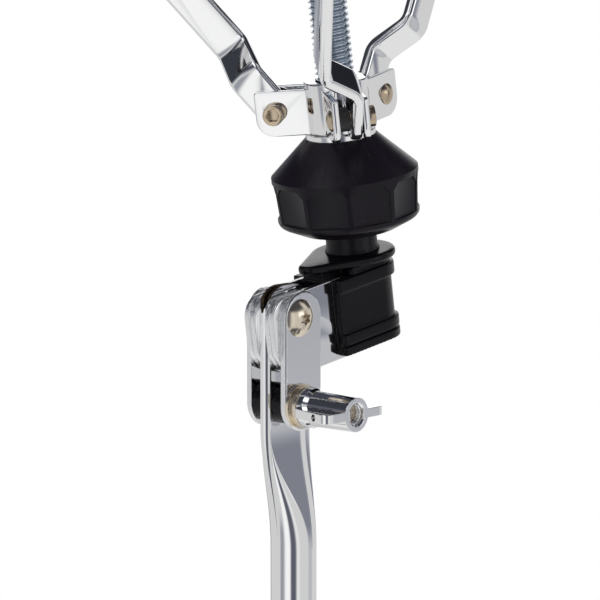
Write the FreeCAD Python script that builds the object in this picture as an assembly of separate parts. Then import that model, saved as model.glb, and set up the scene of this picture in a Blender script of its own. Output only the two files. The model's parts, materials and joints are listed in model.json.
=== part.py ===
import FreeCAD, Part
import math
import os
from FreeCAD import Vector

# Snare drum stand, lengths in millimetres, angles in degrees.
# Z is up from the floor, X is the tilt axis towards the wing nut,
# Y runs from the mast towards the adjusting nut.

# Tripod
leg_count = 3
leg_azimuth = 90.0
leg_open_angle = 56.0
leg_length = 300.0
leg_pivot_radius = 26.0
leg_width = 16.0
leg_sheet = 2.5
leg_gap = 12.4
leg_end_round = 3.0
brace_length = 82.0
brace_width = 12.0
brace_sheet = 2.5
side_play = 0.2
rivet_radius = 3.0
rivet_head_radius = 5.0
rivet_head_height = 1.6
leg_spacer_share = 0.64
pin_play = 0.1

# Rubber feet
foot_drop = 13.0
foot_wall = 2.6
foot_cover = 27.0
foot_nose = 4.0
foot_toe = 11.0
foot_heel = 16.0
foot_toe_lift = 4.0
foot_round = 2.0

# Base tube, leg bracket and brace ring
base_tube_radius = 12.7
base_tube_wall = 1.6
cap_lift = 3.0
cap_flange = 3.0
cap_plug = 15.0
bracket_radius = 17.0
bracket_below = 12.0
bracket_above = 13.0
bracket_lug_height = 16.0
bracket_lug_tip = 7.5
ring_radius = 16.2
ring_height = 18.0
ring_lug_tip = 6.0
ring_lug_height = 12.0
ring_play = 0.3
ring_boss_radius = 8.0
ring_boss_reach = 27.0
ring_screw_radius = 4.0
ring_screw_gap = 0.4
ring_screw_azimuth = 270.0

# Height clamp
clamp_gap = 2.0
clamp_height = 30.0
clamp_radius = 17.5
clamp_ear_reach = 34.0
clamp_ear_sheet = 7.0
clamp_slit = 3.0
clamp_bolt_reach = 26.0
clamp_bolt_radius = 4.0
clamp_ear_round = 7.0
clamp_head_radius = 7.5
clamp_head_height = 4.0
clamp_slot_depth = 36.0
bushing_depth = 40.0
bushing_flange = 4.0
bushing_play = 0.1

# Memory lock
lock_height = 16.0
lock_radius = 14.5
lock_ear_reach = 25.0
lock_ear_sheet = 5.0
lock_slit = 2.4
lock_bolt_reach = 19.5
lock_bolt_radius = 2.5
lock_bolt_over = 3.0
lock_head_size = 6.0
lock_head_height = 5.0
lock_round = 3.0
lock_play = 0.2

# Mast
mast_radius = 9.525
mast_wall = 1.5
mast_end_gap = 42.0
mast_clear = 34.0
flat_thickness = 5.0
flat_back = 5.1
flat_above = 12.5
flat_top_round = 11.0
flat_below = 48.0
flat_turn = 44.0
flat_stage_shares = (0.34, 0.70)
flat_stage_depth_shares = (0.22, 0.72)
round_split = 24.0

# Tilter
pivot_back = 8.0
tilt_rest = 8.5
strap_sheet = 2.8
strap_gap = 10.8
strap_top = 9.5
strap_bottom = 24.6
strap_end = 12.8
strap_end_round_top = 9.0
strap_end_round_bottom = 15.0
rod_offset = 46.8
plate_sheet = 2.9
plate_width = 21.4
plate_ahead = 2.2
bolt_spacing = 36.2
plate_edge = 0.6
stack_play = 0.1
pivot_bolt_radius = 4.0
pivot_head_radius = 7.9
pivot_head_height = 3.6
recess_width = 1.8
recess_reach = 3.4
recess_depth = 2.2
pivot_nut_radius = 6.4
pivot_nut_height = 5.2
tilt_bolt_radius = 4.0
tilt_head_radius = 6.4
tilt_head_height = 3.2
tilt_bolt_end = 27.0
spacer_radius = 8.2
friction_end = 12.5
friction_near = 17.0
friction_top = 8.0
friction_bottom = 22.5
friction_round = 11.0
washer_radius = 9.2
washer_sheets = (1.6, 2.2, 1.2)
washer_radius_shares = (1.0, 0.86, 0.92)

# Wing nuts
wing_root_radius = 8.2
wing_tip_radius = 7.0
wing_length = 26.0
wing_span = 18.5
wing_sheet = 3.8
wing_start = 3.0
wing_taper = 5.0
wing_round = 4.0
wing_thread_play = 0.1
wing_seat_play = 0.2
wing_mouth = 0.9
wing_waist_radius = 7.4
wing_waist = 5.0
wing_hole_radius = 1.4
wing_hole_rise = 17.5
wing_hole_floor = 10.0

# Boot
boot_near = 23.8
boot_upper_near = 14.0
boot_past = 4.5
boot_wall = 3.8
boot_rib = 1.6
boot_bottom = 22.6
boot_top = 12.6
boot_flange = 3.6
boot_flange_radius = 17.8
boot_tail = 26.2
boot_tail_radius = 5.0
boot_flange_edge = 1.4
boot_rib_low_shares = (0.0, 0.125, 0.76)
boot_rib_high_shares = (0.10, 0.25, 0.91)
boot_corner = 2.0
boot_fill_near = 20.5
boot_fill_low = 4.0
boot_web_near = 21.0
neck_radius = 10.7
neck_foot = 2.0
neck_foot_radius = 11.6

# Rod and adjusting nut
rod_radius = 8.0
rod_play = 0.35
nut_bottom = 25.5
nut_chamfer = 4.4
nut_grip = 20.0
nut_cone = 15.1
nut_foot_radius = 20.5
nut_grip_radius = 30.6
nut_top_radius = 15.0
nut_panels = 10
nut_panel_width = 17.0
nut_panel_depth = 1.6
nut_panel_margin = 2.2
nut_panel_corner = 3.0
nut_panel_turn = 8.5
nut_gap = 0.2
insert_radius = 11.5
insert_inset = 1.5
thrust_sheet = 2.3
thrust_radius = 14.6

# Hub
basket_azimuths = (98.5, 211.0, 322.0)
hub_height = 21.5
hub_radius = 13.2
hub_ear_height = 19.0
hub_ear_reach = 33.5
hub_ear_sheet = 2.6
hub_ear_gap = 9.8
hub_ear_low_round = 7.5
hub_ear_high_round = 1.5
hub_pivot_radius = 25.5
hub_pivot_rise = 9.5
hub_screw_radius = 3.0
hub_head_radius = 4.3
hub_head_height = 3.2
hub_socket = 2.6
hub_socket_depth = 2.0
hub_end_radius = 4.6
hub_end_height = 1.9
hub_spacer_radius = 5.0

# Struts
strut_angle = 37.0
strut_length = 116.0
strut_width = 15.0
strut_sheet = 4.7
strut_play = 0.3
strut_tail = 2.0
strut_bend_start = 19.0
strut_bend_end = 31.0
strut_shift = 14.0
strut_bend_round = 5.0
knee_radius = 3.5
knee_play = 0.9
knee_head_radius = 6.2
knee_head_height = 2.4
knee_preset_in = 0.6
knee_preset_down = 0.08

# Arms and top collar
top_pivot_rise = 80.0
top_pivot_radius = 17.0
arm_half_width = 9.1
arm_sheet = 1.8
arm_high = 7.0
arm_low = 8.0
arm_tip_low = 4.0
arm_lug_round = 5.6
arm_web_start = 8.5
arm_past_hoop = 3.0
arm_slot_start = 98.0
arm_slot_length = 34.0
arm_slot_width = 7.0
collar_radius = 11.2
collar_below = 8.0
collar_above = 9.0
collar_lug_half = 7.0
collar_lug_round = 5.5
cap_nut_radius = 11.0
cap_nut_height = 7.0
cap_dome_height = 7.0
cap_nut_sides = 6

# Grips for a 14 inch drum
hoop_radius = 184.0
grip_half_width = 12.5
grip_wall = 3.0
grip_cover = 36.0
grip_seat_depth = 15.0
grip_lift = 4.0
grip_back = 9.0
grip_height = 20.0
grip_lean = 3.0
grip_nose = 4.0
grip_round = 2.0

# Sizes worked out from the ones above
origin = Vector(0, 0, 0)
along_x = Vector(1, 0, 0)
along_y = Vector(0, 1, 0)
along_z = Vector(0, 0, 1)
full_turn = 360.0
right_angle = 90.0
tiny = 1e-6

leg_step = full_turn / leg_count
leg_sin = math.sin(math.radians(leg_open_angle))
leg_cos = math.cos(math.radians(leg_open_angle))
leg_pivot_height = leg_length * leg_cos + foot_drop
ring_pivot_height = leg_pivot_height - 2 * brace_length * leg_cos
leg_outer = leg_gap / 2 + leg_sheet
brace_outer = leg_gap / 2 - side_play
brace_inner = brace_outer - brace_sheet

base_tube_bottom = cap_lift + cap_flange
clamp_bottom = leg_pivot_height + bracket_above + clamp_gap
clamp_top = clamp_bottom + clamp_height
bushing_top = clamp_top + bushing_flange + bushing_play
base_tube_bore = base_tube_radius - base_tube_wall
cap_top = cap_lift + cap_plug
lock_low = bushing_top + lock_play
lock_high = lock_low + lock_height
mast_bottom = cap_top + mast_end_gap
pivot_height = lock_high + mast_clear + flat_turn + flat_below

strap_inner = strap_gap / 2
strap_outer = strap_inner + strap_sheet
rod_shank_radius = strap_inner
plate_inner = strap_outer + stack_play
plate_outer = plate_inner + plate_sheet
boot_half = strap_outer + boot_wall
flange_top = boot_top + boot_flange

nut_top = nut_bottom + nut_chamfer + nut_grip + nut_cone
hub_bottom = nut_top + thrust_sheet
hub_pivot_height = hub_bottom + hub_pivot_rise
top_pivot_height = hub_pivot_height + top_pivot_rise
ear_inner = hub_ear_gap / 2
ear_outer = ear_inner + hub_ear_sheet
strut_high = ear_inner - strut_play
strut_low = strut_high - strut_sheet
strut_upper_high = strut_high - strut_shift
strut_upper_low = strut_low - strut_shift

strut_sin = math.sin(math.radians(strut_angle))
strut_cos = math.cos(math.radians(strut_angle))
knee_out = hub_pivot_radius + strut_length * strut_sin - knee_preset_in
knee_up = hub_pivot_height + strut_length * strut_cos - knee_preset_down
arm_run = knee_out - top_pivot_radius
arm_rise = knee_up - top_pivot_height
arm_span = math.hypot(arm_run, arm_rise)
arm_slope = math.degrees(math.atan2(arm_rise, arm_run))
arm_sin = arm_rise / arm_span
arm_cos = arm_run / arm_span
arm_length = (hoop_radius + arm_past_hoop - top_pivot_radius) / arm_cos

nodes = {}


def keep(name, *shapes):
    """Store the solids of one named piece."""
    solids = []
    for shape in shapes:
        solids.extend(shape.Solids)
    nodes[name] = solids[0] if len(solids) == 1 else Part.makeCompound(solids)


def outline(corners):
    """Closed wire in the XZ plane through (x, z, corner radius) points."""
    count = len(corners)
    points = [Vector(u, 0, v) for u, v, r in corners]
    starts, middles, ends = [], [], []
    for i in range(count):
        here = points[i]
        radius = corners[i][2]
        back = (points[i - 1] - here).normalize()
        fore = (points[(i + 1) % count] - here).normalize()
        half = back.getAngle(fore) / 2
        if radius == 0:
            starts.append(here)
            middles.append(None)
            ends.append(here)
            continue
        reach = radius / math.tan(half)
        bisector = (back + fore).normalize()
        starts.append(here + back * reach)
        ends.append(here + fore * reach)
        middles.append(here + bisector * (radius / math.sin(half) - radius))
    edges = []
    for i in range(count):
        if (starts[i] - ends[i - 1]).Length > tiny:
            edges.append(Part.makeLine(ends[i - 1], starts[i]))
        if middles[i] is not None:
            edges.append(Part.Arc(starts[i], middles[i], ends[i]).toShape())
    return Part.Wire(Part.__sortEdges__(edges))


def plate(corners, low, high):
    """Plate with its outline in XZ and its thickness along Y."""
    shape = Part.Face(outline(corners)).extrude(Vector(0, high - low, 0))
    shape.translate(Vector(0, low, 0))
    return shape


def plate_across(corners, low, high):
    """Plate with its outline in YZ and its thickness along X."""
    shape = plate(corners, -high, -low)
    shape.rotate(origin, along_z, right_angle)
    return shape


def plate_flat(corners, low, high):
    """Plate with its outline in XY and its thickness along Z."""
    shape = plate(corners, -high, -low)
    shape.rotate(origin, along_x, -right_angle)
    return shape


def bar(radius, start, end):
    """Round bar between two points."""
    return Part.makeCylinder(radius, (end - start).Length, start, end - start)


def upright(radius, low, high):
    """Round bar on the Z axis."""
    return bar(radius, Vector(0, 0, low), Vector(0, 0, high))


def crosswise(radius, x, half, z):
    """Round bar along Y, centred on the XZ plane."""
    return bar(radius, Vector(x, -half, z), Vector(x, half, z))


def sideways(radius, low, high, z=0):
    """Round bar along X, above or below the Y axis."""
    return bar(radius, Vector(low, 0, z), Vector(high, 0, z))


def four(left, low, right, high, rounds=(0, 0, 0, 0)):
    """Rectangle corners, rounded from the low left one onwards."""
    spots = ((left, low), (right, low), (right, high), (left, high))
    return [(u, v, r) for (u, v), r in zip(spots, rounds)]


def tube(outer, inner, start, end):
    """Round tube between two points."""
    return bar(outer, start, end).cut(bar(inner, start, end))


def aim(shape, base, direction):
    """Move a shape built along Z to a base point and direction."""
    turn = FreeCAD.Rotation(along_z, direction)
    shape.Placement = FreeCAD.Placement(base, turn).multiply(shape.Placement)
    return shape


def turned(profile, base=origin, direction=along_z):
    """Solid of revolution from (radius, height) points."""
    points = [Vector(r, 0, h) for r, h in profile]
    face = Part.Face(Part.makePolygon(points + points[:1]))
    return aim(face.revolve(origin, along_z, full_turn), base, direction)


def dome(radius, height, base, direction):
    """Round cap that stands on a flat."""
    ball = (radius * radius + height * height) / (2 * height)
    lean = math.asin(radius / ball) / 2
    middle = Vector(ball * math.sin(lean), 0, height - ball + ball * math.cos(lean))
    rim = Vector(radius, 0, 0)
    top = Vector(0, 0, height)
    arc = Part.Arc(rim, middle, top).toShape()
    sides = [Part.makeLine(top, origin), Part.makeLine(origin, rim), arc]
    face = Part.Face(Part.Wire(Part.__sortEdges__(sides)))
    return aim(face.revolve(origin, along_z, full_turn), base, direction)


def polygon_bar(radius, sides, low, high):
    """Upright bar with flat sides, radius to its corners."""
    points = []
    for i in range(sides + 1):
        angle = math.radians(full_turn * i / sides)
        points.append(Vector(radius * math.cos(angle), radius * math.sin(angle), low))
    return Part.Face(Part.makePolygon(points)).extrude(Vector(0, 0, high - low))


def joined(first, *others):
    """Fuse shapes into one clean solid."""
    return first.multiFuse(list(others)).removeSplitter()


def turn_copy(shape, azimuth):
    """Copy of a shape turned about the Z axis."""
    copy = shape.copy()
    copy.rotate(origin, along_z, azimuth)
    return copy


def on_head(shape):
    """Bring a shape from the tilter's own frame to its place."""
    copy = shape.copy()
    copy.rotate(origin, along_x, tilt_rest)
    copy.translate(Vector(0, -pivot_back, pivot_height))
    return copy


def on_basket(shape, azimuth=0):
    """Bring a shape from the basket's own frame to its place."""
    copy = turn_copy(shape, azimuth)
    copy.translate(Vector(0, rod_offset, 0))
    return on_head(copy)


def on_mast(shape):
    """Bring a shape from the pivot's upright frame to its place."""
    copy = shape.copy()
    copy.translate(Vector(0, -pivot_back, pivot_height))
    return copy


def cross_pin(radius, half, head_radius, head_height, x, z):
    """Rivet along Y with a domed head at both ends."""
    low = Vector(x, -half, z)
    high = Vector(x, half, z)
    return joined(bar(radius, low, high),
                  dome(head_radius, head_height, high, along_y),
                  dome(head_radius, head_height, low, -along_y))


def wing_nut(bore, base, direction, roll):
    """Wing nut along its bolt: waisted barrel and two swept wings."""
    barrel = turned([(bore, 0), (wing_root_radius, 0), (wing_root_radius, wing_start),
                     (wing_waist_radius, wing_waist), (wing_tip_radius, wing_length),
                     (bore + wing_mouth, wing_length), (bore, wing_length - wing_mouth)])
    near = [(0, wing_start, 0), (wing_span - wing_taper, wing_start, wing_round),
            (wing_span, wing_length, wing_round), (0, wing_length, 0)]
    far = [(-u, v, r) for u, v, r in near]
    hole = bar(bore, origin, Vector(0, 0, wing_length))
    wings = [plate(side, -wing_sheet / 2, wing_sheet / 2).cut(hole) for side in (near, far)]
    body = joined(barrel, *wings)
    for side in (1, -1):
        body = body.cut(bar(wing_hole_radius, Vector(side * wing_span, 0, wing_hole_rise),
                            Vector(side * wing_hole_floor, 0, wing_hole_rise)))
    body.rotate(origin, along_z, roll)
    return aim(body, base, direction)


# Legs, feet and braces, built pointing along X
def leg_point(along, out):
    """Point in the leg's plane, measured along and above its centre line."""
    return (leg_pivot_radius + along * leg_sin + out * leg_cos,
            leg_pivot_height - along * leg_cos + out * leg_sin)


half_leg = leg_width / 2
strip = four(-half_leg, -half_leg, leg_length, half_leg,
             (half_leg, leg_end_round, leg_end_round, half_leg))
strips = [plate(strip, leg_gap / 2, leg_outer), plate(strip, -leg_outer, -leg_gap / 2)]
spacer_at = leg_length * leg_spacer_share
leg_holes = [crosswise(rivet_radius + pin_play, 0, leg_outer, 0),
             crosswise(rivet_radius, brace_length, leg_outer, 0),
             crosswise(rivet_radius, spacer_at, leg_outer, 0)]
strips = [s.cut(Part.makeCompound(leg_holes)) for s in strips]

brace_rivet = cross_pin(rivet_radius, leg_outer, rivet_head_radius, rivet_head_height, brace_length, 0)
spacer_rivet = cross_pin(rivet_radius, leg_outer, rivet_head_radius, rivet_head_height, spacer_at, 0)
spacer_rivet = joined(spacer_rivet, crosswise(rivet_head_radius, spacer_at, leg_gap / 2, 0))


def as_leg(shape):
    """Turn a shape from the leg's own line to its open place."""
    copy = shape.copy()
    copy.rotate(origin, along_y, right_angle - leg_open_angle)
    copy.translate(Vector(leg_pivot_radius, 0, leg_pivot_height))
    return copy


half_brace = brace_width / 2
link = four(-half_brace, -half_brace, brace_length + half_brace, half_brace, (half_brace,) * 4)
brace = []
for low, high in ((brace_inner, brace_outer), (-brace_outer, -brace_inner)):
    side = plate(link, low, high)
    for x in (0, brace_length):
        side = side.cut(crosswise(rivet_radius + pin_play, x, brace_outer, 0))
    side.rotate(origin, along_y, leg_open_angle - right_angle)
    side.translate(Vector(leg_pivot_radius, 0, ring_pivot_height))
    brace.append(side)

foot_edge = half_leg + foot_wall
toe = leg_pivot_radius + leg_length * leg_sin
top_near = leg_point(leg_length - foot_cover, foot_edge)
top_far = leg_point(leg_length + foot_nose, foot_edge)
low_near = leg_point(leg_length - foot_cover, -foot_edge)
foot_shape = plate([(toe - foot_heel, 0, 0), (toe + foot_toe, 0, 0),
                    (toe + foot_toe + foot_round, foot_toe_lift, foot_round),
                    (top_far[0], top_far[1], foot_wall), (top_near[0], top_near[1], foot_round),
                    (low_near[0], low_near[1], foot_round)],
                   -leg_outer - foot_wall, leg_outer + foot_wall)
for s in strips:
    foot_shape = foot_shape.cut(as_leg(s))

for i in range(leg_count):
    azimuth = leg_azimuth + leg_step * i
    number = str(i + 1)
    keep("leg_" + number, *[turn_copy(as_leg(s), azimuth) for s in strips])
    keep("foot_" + number, turn_copy(foot_shape, azimuth))
    keep("leg_rivets_" + number, *[turn_copy(as_leg(r), azimuth) for r in (brace_rivet, spacer_rivet)])
    keep("brace_" + number, *[turn_copy(s, azimuth) for s in brace])

# Base tube with its cap, leg bracket and sliding brace ring
slot_side = four(0, clamp_top - clamp_slot_depth, base_tube_radius, clamp_top)
slot = plate(slot_side, -clamp_slit / 2, clamp_slit / 2)
pipe = tube(base_tube_radius, base_tube_bore, Vector(0, 0, base_tube_bottom), Vector(0, 0, clamp_top))
keep("base_tube", pipe.cut(turn_copy(slot, ring_screw_azimuth)))
keep("base_end_cap", turned([(0, cap_lift), (base_tube_radius, cap_lift),
                             (base_tube_radius, base_tube_bottom), (base_tube_bore, base_tube_bottom),
                             (base_tube_bore, cap_top), (0, cap_top)]))


def lug(reach, middle, half_height, half_width, hole):
    """Round-ended lug along X with a pin hole at the leg pivot radius."""
    corners = four(0, middle - half_height, reach, middle + half_height, (0, half_height, half_height, 0))
    pin_hole = crosswise(hole, leg_pivot_radius, half_width, middle)
    return plate(corners, -half_width, half_width).cut(pin_hole)


def all_round(shape):
    """Copies of a shape at every leg."""
    return [turn_copy(shape, leg_azimuth + leg_step * i) for i in range(leg_count)]


def basket_round(shape):
    """Copies of a shape at every basket arm."""
    return [turn_copy(shape, azimuth) for azimuth in basket_azimuths]



leg_lug = lug(leg_pivot_radius + bracket_lug_tip, leg_pivot_height, bracket_lug_height / 2,
              leg_gap / 2 - side_play, rivet_radius)
bracket_low = leg_pivot_height - bracket_below
bracket_high = leg_pivot_height + bracket_above
bracket = joined(upright(bracket_radius, bracket_low, bracket_high), *all_round(leg_lug))
keep("leg_bracket", bracket.cut(upright(base_tube_radius, 0, clamp_top)))
leg_pin = cross_pin(rivet_radius, leg_outer + side_play, rivet_head_radius, rivet_head_height,
                    leg_pivot_radius, leg_pivot_height)
keep("leg_pins", *all_round(leg_pin))

ring_low = ring_pivot_height - ring_height / 2
ring_high = ring_pivot_height + ring_height / 2
ring_lug = lug(leg_pivot_radius + ring_lug_tip, ring_pivot_height, ring_lug_height / 2,
               brace_inner - side_play, rivet_radius)
boss = sideways(ring_boss_radius, 0, ring_boss_reach, ring_pivot_height)
boss_hole = sideways(ring_screw_radius + pin_play, 0, ring_boss_reach, ring_pivot_height)
ring = joined(upright(ring_radius, ring_low, ring_high), turn_copy(boss, ring_screw_azimuth),
              *all_round(ring_lug))
ring = ring.cut(upright(base_tube_radius + ring_play, ring_low, ring_high))
keep("brace_ring", ring.cut(turn_copy(boss_hole, ring_screw_azimuth)))
ring_pin = crosswise(rivet_radius, leg_pivot_radius, brace_outer, ring_pivot_height)
keep("ring_pins", *all_round(ring_pin))

screw_seat = Vector(ring_boss_reach + wing_seat_play, 0, ring_pivot_height)
screw_head = wing_nut(ring_screw_radius, screw_seat, along_x, 0)
screw_stem = sideways(ring_screw_radius, base_tube_radius + ring_screw_gap, ring_boss_reach + wing_length,
                      ring_pivot_height)
keep("ring_wing_screw", turn_copy(joined(screw_stem, screw_head), ring_screw_azimuth))

# Height clamp, its bolt and wing nut, built with the ears along X
ear = four(0, clamp_bottom, clamp_ear_reach, clamp_top, (0, clamp_ear_round, clamp_ear_round, 0))
ear_out = clamp_slit / 2 + clamp_ear_sheet
clamp_middle = clamp_bottom + clamp_height / 2
clamp_cut = four(0, clamp_bottom, clamp_ear_reach, clamp_top)
clamp = joined(upright(clamp_radius, clamp_bottom, clamp_top), plate(ear, -ear_out, ear_out))
clamp = clamp.cut(upright(base_tube_radius, clamp_bottom, clamp_top))
clamp = clamp.cut(plate(clamp_cut, -clamp_slit / 2, clamp_slit / 2))
bolt_low = Vector(clamp_bolt_reach, -ear_out, clamp_middle)
bolt_high = Vector(clamp_bolt_reach, ear_out, clamp_middle)
clamp = clamp.cut(bar(clamp_bolt_radius, bolt_low, bolt_high))
keep("height_clamp", turn_copy(clamp, ring_screw_azimuth))
bolt_end = Vector(clamp_bolt_reach, ear_out + wing_length - wing_waist, clamp_middle)
clamp_bolt = joined(bar(clamp_bolt_radius, bolt_low, bolt_end),
                    dome(clamp_head_radius, clamp_head_height, bolt_low, -along_y))
keep("clamp_bolt", turn_copy(clamp_bolt, ring_screw_azimuth))
nut_base = Vector(clamp_bolt_reach, ear_out + wing_seat_play, clamp_middle)
clamp_nut = wing_nut(clamp_bolt_radius + wing_thread_play, nut_base, along_y, 0)
keep("clamp_wing_nut", turn_copy(clamp_nut, ring_screw_azimuth))

sleeve_radius = base_tube_bore - bushing_play
sleeve_bore = mast_radius + bushing_play
sleeve_low = clamp_top - bushing_depth
collar_seat = clamp_top + bushing_play
keep("clamp_bushing", turned([(sleeve_bore, sleeve_low), (sleeve_radius, sleeve_low),
                              (sleeve_radius, collar_seat), (base_tube_radius, collar_seat),
                              (base_tube_radius, bushing_top), (sleeve_bore, bushing_top)]))

# Memory lock, clamped on the mast above the bushing
lock_ear = four(0, lock_low, lock_ear_reach, lock_high, (0, lock_round, lock_round, 0))
lock_cut = four(0, lock_low, lock_ear_reach, lock_high)
lock_out = lock_slit / 2 + lock_ear_sheet
lock_middle = lock_low + lock_height / 2
lock = joined(upright(lock_radius, lock_low, lock_high), plate(lock_ear, -lock_out, lock_out))
lock = lock.cut(upright(sleeve_bore, lock_low, lock_high))
lock = lock.cut(plate(lock_cut, -lock_slit / 2, lock_slit / 2))
lock_bolt_low = Vector(lock_bolt_reach, -lock_out - lock_bolt_over, lock_middle)
lock_bolt_high = Vector(lock_bolt_reach, lock_out, lock_middle)
lock = lock.cut(bar(lock_bolt_radius, lock_bolt_low, lock_bolt_high))
keep("memory_lock", turn_copy(lock, ring_screw_azimuth))
half_head = lock_head_size / 2
lock_head = plate(four(lock_bolt_reach - half_head, lock_middle - half_head,
                       lock_bolt_reach + half_head, lock_middle + half_head),
                  lock_out, lock_out + lock_head_height)
lock_screw = joined(bar(lock_bolt_radius, lock_bolt_low, lock_bolt_high), lock_head)
keep("memory_lock_screw", turn_copy(lock_screw, ring_screw_azimuth))


# Mast: a round tube pressed flat at its top
def round_section(radius, height):
    """Circle in four arcs, so that it pairs with the flattened section."""
    angles = [-round_split, round_split, full_turn / 2 - round_split, full_turn / 2 + round_split]
    edges = []
    for i in range(len(angles)):
        first = angles[i]
        last = angles[(i + 1) % len(angles)]
        last = last if last > first else last + full_turn
        spots = []
        for angle in (first, (first + last) / 2, last):
            turn = math.radians(angle)
            spots.append(Vector(radius * math.cos(turn), radius * math.sin(turn), height))
        edges.append(Part.Arc(*spots).toShape())
    return Part.Wire(edges)


def pressed_section(thickness, inset, back, height):
    """Obround with the round tube's wall length, moved back along Y."""
    centre_line = math.pi * (2 * mast_radius - thickness)
    half_flat = centre_line / 4
    half = thickness / 2 - inset
    east_low = Vector(half, -half_flat - back, height)
    east_high = Vector(half, half_flat - back, height)
    west_high = Vector(-half, half_flat - back, height)
    west_low = Vector(-half, -half_flat - back, height)
    north = Vector(0, half_flat + half - back, height)
    south = Vector(0, -half_flat - half - back, height)
    east = Part.makeLine(east_low, east_high)
    west = Part.makeLine(west_high, west_low)
    far_end = Part.Arc(east_high, north, west_high).toShape()
    near_end = Part.Arc(west_low, south, east_low).toShape()
    return Part.Wire([east, far_end, west, near_end])


def mast_skin(inset, over):
    """Solid inside the mast's outer or inner skin."""
    low = mast_bottom - over
    bend_low = pivot_height - flat_below - flat_turn
    bend_high = pivot_height - flat_below
    radius = mast_radius - inset
    wires = [round_section(radius, bend_low)]
    for rise, squash in zip(flat_stage_depth_shares, flat_stage_shares):
        thickness = 2 * mast_radius + (flat_thickness - 2 * mast_radius) * rise
        wires.append(pressed_section(thickness, inset, flat_back * rise, bend_low + flat_turn * squash))
    wires.append(pressed_section(flat_thickness, inset, flat_back, bend_high))
    stem = bar(radius, Vector(0, 0, low), Vector(0, 0, bend_low))
    press = Part.makeLoft(wires, True, False)
    blade = Part.Face(pressed_section(flat_thickness, inset, flat_back, bend_high)).extrude(
        Vector(0, 0, flat_below + flat_above + over))
    return stem.fuse(press).fuse(blade)


mast = mast_skin(0, 0).cut(mast_skin(mast_wall, tiny))
flat_half = math.pi * (2 * mast_radius - flat_thickness) / 4 + flat_thickness / 2
blade_top = pivot_height + flat_above
blade_side = four(-flat_half - flat_back, blade_top - flat_below, flat_half - flat_back, blade_top,
                  (0, 0, flat_top_round, flat_top_round))
blade_box = four(-2 * flat_half, blade_top - flat_below, 2 * flat_half, blade_top)
corners = plate_across(blade_box, -mast_radius, mast_radius)
mast = mast.cut(corners.cut(plate_across(blade_side, -mast_radius, mast_radius)))
reach = strap_outer + plate_sheet
for drop, radius in ((0, pivot_bolt_radius), (bolt_spacing, tilt_bolt_radius)):
    mast = mast.cut(on_mast(sideways(radius, -reach, reach, -drop)))
keep("mast_tube", mast)

# Side plates and bolts of the tilter, fixed to the mast
half_plate = plate_width / 2
plate_near = plate_ahead - half_plate
plate_far = plate_ahead + half_plate
side_outline = four(plate_near, -bolt_spacing - half_plate, plate_far, half_plate, (half_plate,) * 4)
front = plate_across(side_outline, plate_inner, plate_outer)
outer_edges = [edge for edge in front.Edges if abs(edge.BoundBox.XMin - plate_outer) < tiny]
front = front.makeChamfer(plate_edge, outer_edges)
front = front.cut(sideways(pivot_bolt_radius, 0, plate_outer))
front = front.cut(sideways(tilt_bolt_radius, 0, plate_outer, -bolt_spacing))
rear = front.mirror(origin, along_x)
keep("front_side_plate", on_mast(front))
keep("rear_side_plate", on_mast(rear))

head_base = Vector(plate_outer, 0, 0)
pivot_head = dome(pivot_head_radius, pivot_head_height, head_base, along_x)
recess_floor = plate_outer + pivot_head_height - recess_depth
recess = []
for wide, tall in ((recess_width / 2, recess_reach), (recess_reach, recess_width / 2)):
    recess.append(Part.makeBox(2 * recess_depth, 2 * wide, 2 * tall, Vector(recess_floor, -wide, -tall)))
pivot_stem = sideways(pivot_bolt_radius, -plate_outer - pivot_nut_height / 2, plate_outer)
pivot_bolt = joined(pivot_stem, pivot_head)
keep("pivot_bolt", on_mast(pivot_bolt.cut(recess[0]).cut(recess[1])))
pivot_nut = joined(polygon_bar(pivot_nut_radius, cap_nut_sides, 0, pivot_nut_height / 2),
                   dome(pivot_nut_radius * math.cos(math.pi / cap_nut_sides), pivot_nut_height / 2,
                        Vector(0, 0, pivot_nut_height / 2), along_z))
pivot_nut = aim(pivot_nut, Vector(-plate_outer, 0, 0), -along_x)
keep("pivot_nut", on_mast(pivot_nut.cut(pivot_bolt)))

axis_low = -bolt_spacing
tilt_bolt = joined(sideways(tilt_bolt_radius, -plate_outer, plate_outer + tilt_bolt_end, axis_low),
                   dome(tilt_head_radius, tilt_head_height, Vector(-plate_outer, 0, axis_low), -along_x))
keep("tilt_bolt", on_mast(tilt_bolt))
washers = []
washer_at = plate_outer
for sheet, share in zip(washer_sheets, washer_radius_shares):
    washers.append(on_mast(tube(washer_radius * share, tilt_bolt_radius, Vector(washer_at, 0, axis_low),
                                Vector(washer_at + sheet, 0, axis_low))))
    washer_at = washer_at + sheet
keep("tilt_washers", *washers)
spacer_low = flat_thickness / 2 + stack_play
spacers = [tube(spacer_radius, tilt_bolt_radius, Vector(side * spacer_low, 0, axis_low),
                Vector(side * (plate_inner - stack_play), 0, axis_low)) for side in (1, -1)]
keep("clamp_spacers", *[on_mast(s) for s in spacers])
tilt_seat = Vector(washer_at + wing_seat_play, 0, axis_low)
tilt_nut = wing_nut(tilt_bolt_radius + wing_thread_play, tilt_seat, along_x, right_angle)
keep("tilt_wing_nut", on_mast(tilt_nut))

# Bracket strap: two lugs joined by a bend around the rod's shank
def round_nose(half):
    """Plan of a straight run that ends in a half circle about the rod."""
    corners = four(-half, -strap_end, half, rod_offset + half, (0, 0, half, half))
    return plate_flat(corners, -strap_bottom, strap_top)


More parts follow.
